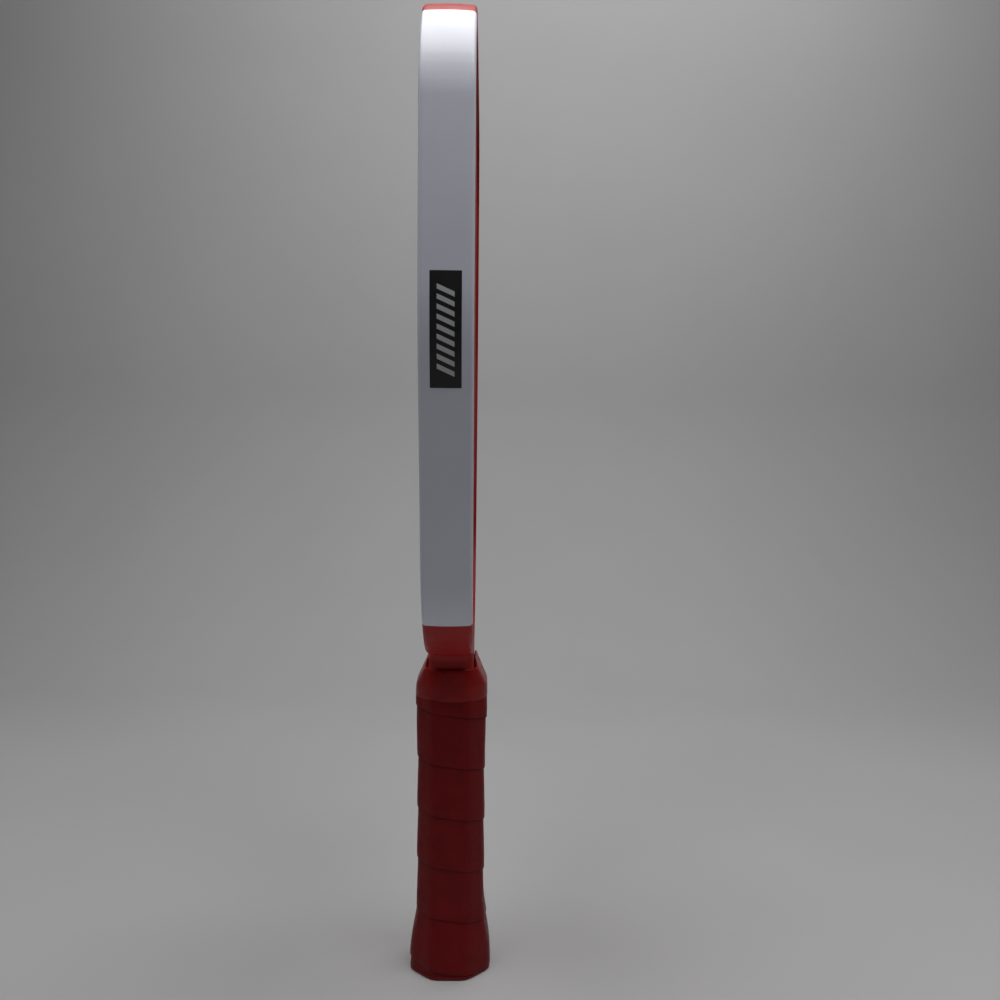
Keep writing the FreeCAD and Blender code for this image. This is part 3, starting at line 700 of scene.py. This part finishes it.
def build_collar(material):
    """Rings up the outside, over the rim and down inside; near each face they blend into the tab's rings."""
    skirt = octagon_rows(np.array(COLLAR_SKIRT) * MM, COLLAR_SOFTNESS)
    low_rim = octagon_rows(np.array(EDGE_RIM) * MM, COLLAR_SOFTNESS)
    tab_rim = octagon_rows(np.array(FACE_RIM) * MM, COLLAR_SOFTNESS)
    sideways = EDGE_RIM[0][1] * MM * np.abs(np.tan(ANGLES))
    share = np.clip((TAB_FADE[1] - sideways) / (TAB_FADE[1] - TAB_FADE[0]), 0, 1)
    share = (share * share * (3 - 2 * share))[:, None]
    rows = np.concatenate([skirt, low_rim * (1 - share) + tab_rim * share])
    return make_piece("rubber_collar", [tube(rows, ring_rows=True)], material, "collar_red", "grip_collar")


# %% [markdown]
# ## Finishes of the visible pieces
# The frame is red lacquer over a moulded channel. The guards are glossy white plastic. The wrap is a satin
# synthetic leather with a fine grain, and the collar is satin rubber. A slow drift of tone, a roughness that
# varies and small waves in the surface keep each of them from looking flat.

# %% Make the finishes
RED = (0.36, 0.012, 0.01)
DEEP_RED = (0.31, 0.009, 0.008)


def lacquer(name, dark, light, roughness):
    """Red lacquer: a slow drift in the tone, a faint orange peel, and a clear coat."""
    material, tree, shader = new_material(name, light, roughness, Specular_IOR_Level=0.2, Coat_Weight=0.04,
                                          Coat_Roughness=0.25)
    two_tones(tree, shader, from_noise(tree, noise(tree, 60)), dark, light)
    vary_roughness(tree, shader, noise(tree, 220), roughness - 0.05, roughness + 0.07)
    emboss(tree, shader, noise(tree, 1400, detail=2), 0.00002)
    return material


def white_plastic(dark, light):
    """Glossy white plastic with very slight waves along its length and a faint uneven sheen."""
    material, tree, shader = new_material("guard_plastic", light, 0.36, Coat_Weight=0.2, Coat_Roughness=0.22)
    two_tones(tree, shader, from_noise(tree, noise(tree, 35)), dark, light)
    vary_roughness(tree, shader, noise(tree, 90), 0.3, 0.4)
    emboss(tree, shader, noise(tree, 260, detail=2, stretch=(1, 1, 0.3)), 0.00002)
    return material


def label_ink(ground, ink):
    """Satin black with slanted bars: those points where the fraction of (z + slope * x) / pitch is small."""
    pitch = 3.4 * MM
    slope = 0.45
    bar_share = 0.52
    bar_half = 3.1 * MM
    bars = 9
    material, tree, shader = new_material("label_print", ground, 0.35)
    x, _, z = split_place(tree)
    slanted = maths(tree, "ADD", z, maths(tree, "MULTIPLY", x, slope))
    wave = maths(tree, "FRACT", maths(tree, "DIVIDE", slanted, pitch))
    bar = maths(tree, "LESS_THAN", wave, bar_share)
    inside_x = maths(tree, "LESS_THAN", maths(tree, "ABSOLUTE", x), bar_half)
    low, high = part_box("side_label_left")
    from_middle = maths(tree, "ABSOLUTE", maths(tree, "SUBTRACT", slanted, (low.z + high.z) / 2))
    inside_z = maths(tree, "LESS_THAN", from_middle, bars * pitch / 2)
    mask = maths(tree, "MULTIPLY", bar, maths(tree, "MULTIPLY", inside_x, inside_z))
    two_tones(tree, shader, mask, ground, ink)
    vary_roughness(tree, shader, noise(tree, 300), 0.3, 0.42)
    emboss(tree, shader, noise(tree, 2500, detail=2), 0.00001)
    return material


def leather(name, dark, light):
    """Synthetic leather: small cells of grain, pores, and a slow drift of tone from handling."""
    material, tree, shader = new_material(name, light, 0.5, Specular_IOR_Level=0.18)
    two_tones(tree, shader, from_noise(tree, noise(tree, 130, detail=5)), dark, light)
    vary_roughness(tree, shader, noise(tree, 350), 0.42, 0.58)
    grain = spread(tree, cells(tree, 1500), 0.1, 0.6, 1, 0)
    height = maths(tree, "ADD", maths(tree, "MULTIPLY", grain, 0.6), noise(tree, 900, detail=4))
    emboss(tree, shader, height, 0.00006)
    return material


def rubber(name, dark, light, roughness):
    """Moulded rubber: a smooth skin with soft waves and a little dust in its tone."""
    material, tree, shader = new_material(name, light, roughness, Specular_IOR_Level=0.22)
    two_tones(tree, shader, from_noise(tree, noise(tree, 250, detail=4)), dark, light)
    vary_roughness(tree, shader, noise(tree, 400), roughness - 0.06, roughness + 0.08)
    emboss(tree, shader, noise(tree, 700, detail=3), 0.00003)
    return material


frame_lacquer = lacquer("frame_lacquer", DEEP_RED, RED, 0.42)
guard_plastic = white_plastic((0.64, 0.66, 0.74), (0.67, 0.69, 0.77))
label_print = label_ink((0.012, 0.012, 0.013), (0.5, 0.51, 0.53))
wrap_leather = leather("wrap_leather", (0.145, 0.0014, 0.002), (0.185, 0.0022, 0.0028))
collar_rubber = rubber("collar_rubber", (0.22, 0.002, 0.002), (0.27, 0.003, 0.003), 0.34)
butt_rubber = rubber("butt_rubber", (0.16, 0.003, 0.003), (0.2, 0.004, 0.004), 0.42)

# %% [markdown]
# ## Put the visible pieces in place
# Each new piece stands for the imported node it follows, and that node is hidden.

# %% Make every visible piece
build_frame(frame_lacquer)
build_guard("guard_right", False, guard_plastic, "side_guard_right")
build_guard("guard_left", True, guard_plastic, "side_guard_left")
build_label("label_right", False, label_print, "side_label_right")
build_label("label_left", True, label_print, "side_label_left")
build_wrap(wrap_leather)
build_butt_cap(butt_rubber)
build_collar(collar_rubber)

# %% [markdown]
# ## Finishes of the pieces that stay as imported
# The flat face sheets keep their imported shape. They get a fine twill weave under red paint, with the sharp
# grit that puts spin on the ball. The hidden layers get their own stuff too: clear adhesive film, milky
# honeycomb, grey foam, cloth tape and bright steel wire.

# %% Make and assign the finishes
def gritty_twill():
    """Red paint over twill: diagonal ribs, |frac((y + z) / pitch) - 0.5|, crossed by threads, and grit."""
    material, tree, shader = new_material("face_paint", RED, 0.55, Specular_IOR_Level=0.12)
    _, y, z = split_place(tree)
    pitch = 1.6 * MM
    rib = maths(tree, "FRACT", maths(tree, "DIVIDE", maths(tree, "ADD", y, z), pitch))
    ridge = maths(tree, "ABSOLUTE", maths(tree, "SUBTRACT", rib, 0.5))
    thread = maths(tree, "SINE", maths(tree, "MULTIPLY", maths(tree, "DIVIDE", z, pitch), 4 * math.pi))
    weave = maths(tree, "ADD", ridge, maths(tree, "MULTIPLY", thread, 0.12))
    drift = from_noise(tree, noise(tree, 25, detail=4), 0, 0.6)
    tone = maths(tree, "ADD", drift, maths(tree, "MULTIPLY", weave, 0.6))
    two_tones(tree, shader, tone, (0.22, 0.012, 0.011), (0.31, 0.02, 0.018))
    grit = spread(tree, cells(tree, 2600), 0.05, 0.45, 1, 0)
    emboss(tree, shader, maths(tree, "ADD", maths(tree, "MULTIPLY", weave, 0.5), grit), 0.00005)
    vary_roughness(tree, shader, noise(tree, 500), 0.48, 0.66)
    return material


def mottled(name, dark, light, roughness, per_metre, depth, **sockets):
    """A plain stuff whose tone, roughness and surface all follow noise of one scale."""
    material, tree, shader = new_material(name, light, roughness, **sockets)
    pattern = noise(tree, per_metre, detail=4)
    two_tones(tree, shader, from_noise(tree, pattern), dark, light)
    vary_roughness(tree, shader, pattern, roughness - 0.05, min(roughness + 0.1, 1))
    emboss(tree, shader, pattern, depth)
    return material


face_paint = gritty_twill()
badge_rubber = rubber("badge_rubber", (0.16, 0.006, 0.007), (0.22, 0.01, 0.01), 0.35)
core_plastic = mottled("core_plastic", (0.62, 0.64, 0.66), (0.74, 0.76, 0.78), 0.4, 120, 0.00005)
bond_resin = mottled("bond_resin", (0.45, 0.33, 0.14), (0.6, 0.46, 0.22), 0.3, 300, 0.00002)
handle_foam = mottled("handle_foam", (0.16, 0.16, 0.17), (0.24, 0.24, 0.25), 0.85, 1600, 0.0002)
cloth_tape = mottled("cloth_tape", (0.01, 0.01, 0.011), (0.025, 0.025, 0.027), 0.6, 2200, 0.00008)
steel_wire = mottled("steel_wire", (0.5, 0.5, 0.52), (0.62, 0.62, 0.64), 0.28, 900, 0.00001, Metallic=1.0)
FINISHES = {
    "core_honeycomb": core_plastic,
    "bond_film_front": bond_resin,
    "bond_film_back": bond_resin,
    "face_sheet_front": face_paint,
    "face_sheet_back": face_paint,
    "handle_pallet_front": handle_foam,
    "handle_pallet_back": handle_foam,
    "butt_badge": badge_rubber,
    "butt_cap_staples": steel_wire,
    "wrap_staple": steel_wire,
    "finishing_tape": cloth_tape,
}
for node, finish in FINISHES.items():
    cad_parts[node].data.materials[0] = finish
print("finished nodes:", len(FINISHES))

# %% [markdown]
# ## The set
# The paddle stands on a pale grey sweep that curves up behind it. The main light is soft and overhead. A
# second one lights the sweep behind the paddle, and weaker ones fill in from the front and both sides.

# %% Floor, lights and camera
def build_sweep():
    """A profile carried sideways: flat floor, a quarter circle, and a straight wall."""
    curve = 0.3
    floor_end = 0.45
    reach = 2.5
    wall_top = 2.2
    dark = (0.55, 0.55, 0.56)
    light = (0.57, 0.57, 0.57)
    turn = np.linspace(0, math.pi / 2, 24)
    y = np.concatenate([[-reach], floor_end + curve * np.sin(turn), [floor_end + curve]])
    z = np.concatenate([[0], curve * (1 - np.cos(turn)), [wall_top]])
    points = np.stack(np.broadcast_arrays([-reach, reach], y[:, None], z[:, None]), axis=-1)
    material, tree, shader = new_material("sweep_paper", light, 0.8)
    two_tones(tree, shader, from_noise(tree, noise(tree, 6, detail=2)), dark, light)
    make_object("sweep", [(points.reshape(-1, 3), grid_faces(len(y), 2), [])], material)


def soft_light(name, place, target, width, depth, power):
    """A rectangular area light aimed at a point."""
    lamp = bpy.data.lights.new(name, "AREA")
    lamp.shape = "RECTANGLE"
    lamp.size = width
    lamp.size_y = depth
    lamp.energy = power
    lamp.color = (1.0, 0.99, 0.985)
    light = bpy.data.objects.new(name, lamp)
    bpy.context.scene.collection.objects.link(light)
    aim = np.array(target) - np.array(place)
    light.rotation_mode = "QUATERNION"
    light.rotation_quaternion = Vector(aim).to_track_quat("-Z", "Y")
    light.location = place
    light.visible_camera = False


def add_camera():
    """A camera a little above the middle of the paddle, pitched down slightly and rolled by half a degree."""
    pitch = math.radians(3.832)
    roll = math.radians(0.553)
    place = np.array([13.81, -453.34, 244.45]) * MM
    ahead = unit(np.array([0.016, 0.99987, 0.0]))
    up = np.array([0.0, 0.0, 1.0])
    right = np.cross(ahead, up)
    look = ahead * math.cos(pitch) - up * math.sin(pitch)
    above = np.cross(right, look)
    rolled_right = right * math.cos(roll) + above * math.sin(roll)
    rolled_up = above * math.cos(roll) - right * math.sin(roll)
    data = bpy.data.cameras.new("camera")
    data.sensor_width = 36
    data.lens = 36.21
    data.clip_start = 0.01
    camera = bpy.data.objects.new("camera", data)
    turn = np.eye(4)
    turn[:3, 0] = rolled_right
    turn[:3, 1] = rolled_up
    turn[:3, 2] = -look
    turn[:3, 3] = place
    camera.matrix_world = Matrix(turn.tolist())
    bpy.context.scene.collection.objects.link(camera)
    bpy.context.scene.camera = camera


def set_world(strength):
    """An even grey surround."""
    world = bpy.data.worlds.new("surround")
    world.use_nodes = True
    background = world.node_tree.nodes["Background"]
    background.inputs["Color"].default_value = (0.9, 0.92, 1.0, 1)
    background.inputs["Strength"].default_value = strength
    bpy.context.scene.world = world


build_sweep()
soft_light("overhead", (0.03, -0.15, 0.68), (0.03, -0.149, 0), 0.6, 0.3, 2.3)
soft_light("left_side", (-0.6, 0.0, 0.3), (0, 0, 0.25), 0.5, 0.5, 0.1)
soft_light("right_side", (0.6, 0.0, 0.3), (0, 0, 0.25), 0.5, 0.5, 0.08)
soft_light("front_fill", (0.1, -0.75, 0.75), (0, 0, 0.2), 0.5, 0.3, 0.35)
soft_light("backdrop", (0.1, 0.3, 0.95), (0.05, 0.62, 0.3), 0.9, 0.3, 3.0)
set_world(0.04)
add_camera()
bpy.context.scene.view_settings.view_transform = "Standard"
